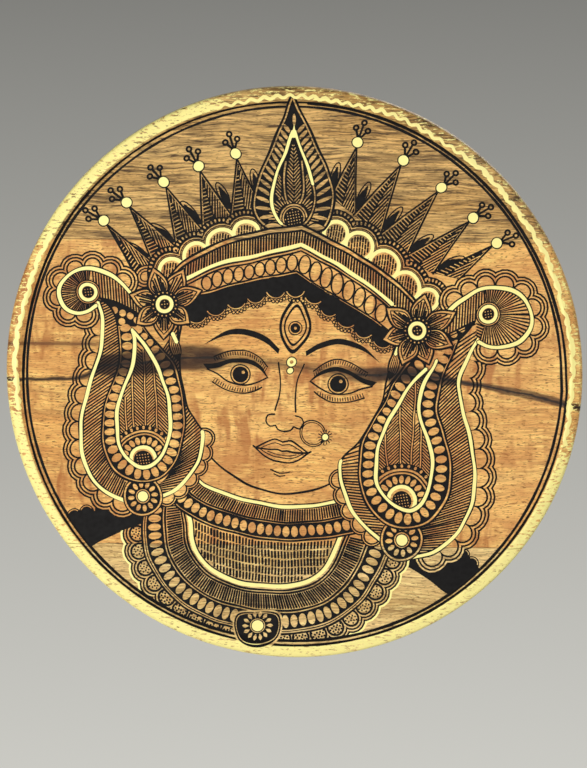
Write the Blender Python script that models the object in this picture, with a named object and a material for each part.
"""A round wooden wall plate, turned from three edge-glued boards, with its hanging hardware on the back.

+Z is up as the plate hangs, the painted face looks along -Y, and the origin is the centre of the flat wooden back.
Lengths are in millimetres up to the point where a mesh or an object is made.
"""

from math import cos, pi, radians, sin

import bmesh
import bpy
from mathutils import Matrix, Vector

MM = 0.001

# The plate: radii from its centre, and heights above its flat back towards the viewer.
PLATE_R = 152.5
BACK_FLAT_R = 138.0
FOOT_ROUND_R = 1.5
EDGE_ROUND_R = 3.0
EDGE_LOW_HEIGHT = 8.0
EDGE_HIGH_HEIGHT = 11.6
LIP_CREST_R = 147.0
LIP_HEIGHT = 15.6
LIP_ROUND_R = 1.6
FLOOR_R = 142.9
FLOOR_HEIGHT = 13.0
PLATE_SEGMENTS = 96

# The two glue joints run level across the plate. Each is a gap between two boards.
UPPER_JOINT_Z = 71.0
LOWER_JOINT_Z = -92.0
JOINT_GAP = 0.3

# The hanger: a strap folded round the straight bar of a D-ring, held by two screws.
SEAT_GAP = 0.3
STRAP_SHEET = 0.8
STRAP_WIDTH = 12.0
STRAP_TAIL = 30.0
RING_WIRE_R = 1.0
RING_CLEARANCE = 0.3
RING_BAR_HALF = 9.0
RING_CORNER_R = 2.5
RING_RISE = 14.0
HINGE_Z = 122.0
SCREW_DROPS = (9.0, 23.0)

SCREW_SHANK_R = 1.2
SCREW_LENGTH = 9.0
SCREW_TIP = 2.0
SCREW_HEAD_R = 2.8
SCREW_HEAD_HEIGHT = 1.7
SCREW_SLOT_WIDTH = 0.7
SCREW_SLOT_LENGTH = 3.2
SCREW_SLOT_DEPTH = 1.0
HOLE_CLEARANCE = 0.3

# Two rubber bumpers hold the lower edge as far off the wall as the strap holds the upper one.
BUMPER_R = 6.0
BUMPER_FACE_R = 4.6
BUMPER_X = 70.0
BUMPER_Z = -108.0

ROUND_SEGMENTS = 24
SMOOTH_ANGLE = radians(32)

LOOP_INNER_R = RING_WIRE_R + RING_CLEARANCE
LOOP_OUTER_R = LOOP_INNER_R + STRAP_SHEET
HINGE_Y = SEAT_GAP + LOOP_OUTER_R
STRAP_TOP_Y = SEAT_GAP + 2 * STRAP_SHEET
WALL_Y = HINGE_Y + LOOP_OUTER_R


def clear_scene():
    for obj in list(bpy.data.objects):
        bpy.data.objects.remove(obj)


def material(name, colour, roughness, metallic=0.0):
    made = bpy.data.materials.new(name)
    made.use_nodes = True
    shader = made.node_tree.nodes["Principled BSDF"]
    shader.inputs["Base Color"].default_value = (*colour, 1.0)
    shader.inputs["Roughness"].default_value = roughness
    shader.inputs["Metallic"].default_value = metallic
    return made


def add_object(name, mesh, finish, location=(0, 0, 0)):
    """An object whose mesh is in metres about its own origin, at a location in millimetres."""
    obj = bpy.data.objects.new(name, mesh)
    obj.location = Vector(location) * MM
    bpy.context.scene.collection.objects.link(obj)
    if finish is not None:
        mesh.materials.append(finish)
    mesh.shade_smooth()
    mesh.set_sharp_from_angle(angle=SMOOTH_ANGLE)
    return obj


def mesh_of(name, bm):
    """Finishes a bmesh in millimetres as a mesh in metres with its faces outward."""
    bmesh.ops.recalc_face_normals(bm, faces=bm.faces)
    bmesh.ops.scale(bm, vec=(MM, MM, MM), verts=bm.verts)
    mesh = bpy.data.meshes.new(name)
    bm.to_mesh(mesh)
    bm.free()
    return mesh


def arc(centre, radius, start, end, steps):
    """Points on an arc from start to end, both in degrees."""
    angles = [radians(start + (end - start) * i / steps) for i in range(steps + 1)]
    return [(centre[0] + radius * cos(a), centre[1] + radius * sin(a)) for a in angles]


def turned(name, profile, segments):
    """A solid turned about Y from (radius, height) points that start and end on the axis."""
    bm = bmesh.new()
    verts = [bm.verts.new((r, h, 0)) for r, h in profile]
    edges = [bm.edges.new(pair) for pair in zip(verts, verts[1:])]
    bmesh.ops.spin(
        bm, geom=verts + edges, cent=(0, 0, 0), axis=(0, 1, 0), angle=2 * pi, steps=segments
    )
    bmesh.ops.remove_doubles(bm, verts=bm.verts, dist=0.01)
    return mesh_of(name, bm)


def block(name, low, high):
    """A box between two corners."""
    bm = bmesh.new()
    bmesh.ops.create_cube(bm, size=1)
    size = Vector(high) - Vector(low)
    middle = (Vector(high) + Vector(low)) / 2
    bmesh.ops.transform(bm, matrix=Matrix.Translation(middle) @ Matrix.Diagonal((*size, 1)), verts=bm.verts)
    return mesh_of(name, bm)


def prism(name, outline, half_width):
    """A (y, z) outline carried along X from -half_width to half_width."""
    bm = bmesh.new()
    face = bm.faces.new([bm.verts.new((-half_width, y, z)) for y, z in outline])
    swept = bmesh.ops.extrude_face_region(bm, geom=[face])["geom"]
    moved = [item for item in swept if isinstance(item, bmesh.types.BMVert)]
    bmesh.ops.translate(bm, vec=(2 * half_width, 0, 0), verts=moved)
    return mesh_of(name, bm)


def cutter(mesh, location=(0, 0, 0)):
    """A helper solid for a Boolean, which isn't a piece of the plate."""
    obj = add_object(mesh.name, mesh, None, location)
    obj.hide_render = True
    obj.display_type = "WIRE"
    return obj


def boolean(obj, other, operation):
    modifier = obj.modifiers.new(f"{operation}_{other.name}".lower(), "BOOLEAN")
    modifier.object = other
    modifier.operation = operation
    modifier.solver = "EXACT"


def plate_profile():
    """The plate's section as (radius, height towards the viewer), from the back's centre to the floor's."""
    foot = arc((BACK_FLAT_R, FOOT_ROUND_R), FOOT_ROUND_R, -90, -60, 2)
    low_edge = arc((PLATE_R - EDGE_ROUND_R, EDGE_LOW_HEIGHT), EDGE_ROUND_R, -60, 0, 4)
    high_edge = arc((PLATE_R - EDGE_ROUND_R, EDGE_HIGH_HEIGHT), EDGE_ROUND_R, 0, 70, 5)
    crest = arc((LIP_CREST_R, LIP_HEIGHT - LIP_ROUND_R), LIP_ROUND_R, 70, 130, 4)
    inner = [(FLOOR_R + 0.4, FLOOR_HEIGHT + 0.25), (FLOOR_R - 0.3, FLOOR_HEIGHT)]
    return [(0, 0), *foot, *low_edge, *high_edge, *crest, *inner, (0, FLOOR_HEIGHT)]


def board(name, finish, low_z, high_z):
    """The slice of the turned plate between two heights."""
    facing_front = [(r, -h) for r, h in plate_profile()]
    obj = add_object(name, turned(name, facing_front, PLATE_SEGMENTS), finish)
    slab = block(f"{name}_slab", (-200, -50, low_z), (200, 50, high_z))
    boolean(obj, cutter(slab), "INTERSECT")
    return obj


def make_boards(finish):
    """Three boards, with the strap's two pilot holes drilled in the upper one."""
    half_gap = JOINT_GAP / 2
    upper = board("upper_board", finish, UPPER_JOINT_Z + half_gap, 200)
    board("middle_board", finish, LOWER_JOINT_Z + half_gap, UPPER_JOINT_Z - half_gap)
    board("lower_board", finish, -200, LOWER_JOINT_Z - half_gap)
    radius = SCREW_SHANK_R + HOLE_CLEARANCE
    depth = SCREW_LENGTH - STRAP_TOP_Y + HOLE_CLEARANCE
    for number, drop in enumerate(SCREW_DROPS, 1):
        shape = turned(f"pilot_hole_{number}", [(0, -depth), (radius, -depth), (radius, 1), (0, 1)], 12)
        boolean(upper, cutter(shape, (0, 0, HINGE_Z - drop)), "DIFFERENCE")


def strap_outline():
    """The folded strap's section, as (y, z) about the hinge: a loop over two flat layers."""
    base_y = SEAT_GAP - HINGE_Y
    top_y = STRAP_TOP_Y - HINGE_Y
    loop = arc((0, 0), LOOP_OUTER_R, -38, 180, 14)
    return [(base_y, -STRAP_TAIL), (top_y, -STRAP_TAIL), (top_y, -4.2), *loop]


def make_strap(finish):
    strap = add_object(
        "hanger_strap", prism("hanger_strap", strap_outline(), STRAP_WIDTH / 2), finish, (0, HINGE_Y, HINGE_Z)
    )
    bm = bmesh.new()
    bmesh.ops.create_cone(
        bm, cap_ends=True, segments=16, radius1=LOOP_INNER_R, radius2=LOOP_INNER_R, depth=STRAP_WIDTH + 4
    )
    bmesh.ops.rotate(bm, cent=(0, 0, 0), matrix=Matrix.Rotation(pi / 2, 3, "Y"), verts=bm.verts)
    boolean(strap, cutter(mesh_of("loop_bore", bm), (0, HINGE_Y, HINGE_Z)), "DIFFERENCE")
    radius = SCREW_SHANK_R + HOLE_CLEARANCE
    for number, drop in enumerate(SCREW_DROPS, 1):
        shape = turned(f"strap_hole_{number}", [(0, -2), (radius, -2), (radius, 6), (0, 6)], 16)
        boolean(strap, cutter(shape, (0, 0, HINGE_Z - drop)), "DIFFERENCE")


def ring_route():
    """The D-ring's centreline as (x, z) about the hinge: a straight bar, two round corners and an arc."""
    side_x = RING_BAR_HALF
    bend = RING_CORNER_R
    right_corner = arc((side_x - bend, bend), bend, -90, 0, 4)
    crown = [
        (side_x * cos(a), RING_RISE - side_x + side_x * sin(a)) for a in (pi * i / 16 for i in range(17))
    ]
    left_corner = arc((bend - side_x, bend), bend, 180, 270, 4)
    return right_corner + crown + left_corner


def make_ring(finish):
    data = bpy.data.curves.new("d_ring", "CURVE")
    data.dimensions = "3D"
    data.bevel_depth = RING_WIRE_R * MM
    data.bevel_resolution = 2
    route = ring_route()
    spline = data.splines.new("POLY")
    spline.points.add(len(route) - 1)
    for point, (x, z) in zip(spline.points, route):
        point.co = (x * MM, 0, z * MM, 1)
    spline.use_cyclic_u = True
    data.materials.append(finish)
    ring = bpy.data.objects.new("d_ring", data)
    ring.location = Vector((0, HINGE_Y, HINGE_Z)) * MM
    bpy.context.scene.collection.objects.link(ring)


def screw_profile():
    """(radius, height off the strap): a pointed shank below zero and a pan head above it."""
    shank_end = -SCREW_LENGTH
    head = arc((SCREW_HEAD_R - 0.9, SCREW_HEAD_HEIGHT - 0.9), 0.9, 0, 90, 4)
    return [
        (0, shank_end),
        (SCREW_SHANK_R, shank_end + SCREW_TIP),
        (SCREW_SHANK_R, 0),
        (SCREW_HEAD_R, 0),
        *head,
        (0, SCREW_HEAD_HEIGHT),
    ]


def make_screws(finish):
    head_base_y = STRAP_TOP_Y + SEAT_GAP
    slot_bottom = SCREW_HEAD_HEIGHT - SCREW_SLOT_DEPTH
    for number, drop in enumerate(SCREW_DROPS, 1):
        place = (0, head_base_y, HINGE_Z - drop)
        name = f"strap_screw_{number}"
        screw = add_object(name, turned(name, screw_profile(), ROUND_SEGMENTS), finish, place)
        for label, half_x, half_z in (
            ("level", SCREW_SLOT_LENGTH / 2, SCREW_SLOT_WIDTH / 2),
            ("upright", SCREW_SLOT_WIDTH / 2, SCREW_SLOT_LENGTH / 2),
        ):
            slot = block(f"{name}_{label}_slot", (-half_x, slot_bottom, -half_z), (half_x, 4, half_z))
            boolean(screw, cutter(slot, place), "DIFFERENCE")


def make_bumpers(finish):
    thickness = WALL_Y - SEAT_GAP
    shoulder = arc((BUMPER_FACE_R, thickness - 1.2), 1.2, 0, 90, 4)
    profile = [(0, 0), (BUMPER_R, 0), (BUMPER_R, 1.0), *shoulder, (0, thickness)]
    for side, x in (("left", -BUMPER_X), ("right", BUMPER_X)):
        name = f"{side}_bumper"
        add_object(name, turned(name, profile, ROUND_SEGMENTS), finish, (x, SEAT_GAP, BUMPER_Z))


def main():
    clear_scene()
    wood = material("mango_wood", (0.62, 0.38, 0.16), 0.45)
    steel = material("plated_steel", (0.72, 0.60, 0.32), 0.35, 1.0)
    screw_steel = material("screw_steel", (0.60, 0.58, 0.55), 0.35, 1.0)
    rubber = material("bumper_rubber", (0.05, 0.05, 0.05), 0.7)
    make_boards(wood)
    make_strap(steel)
    make_ring(steel)
    make_screws(screw_steel)
    make_bumpers(rubber)


main()
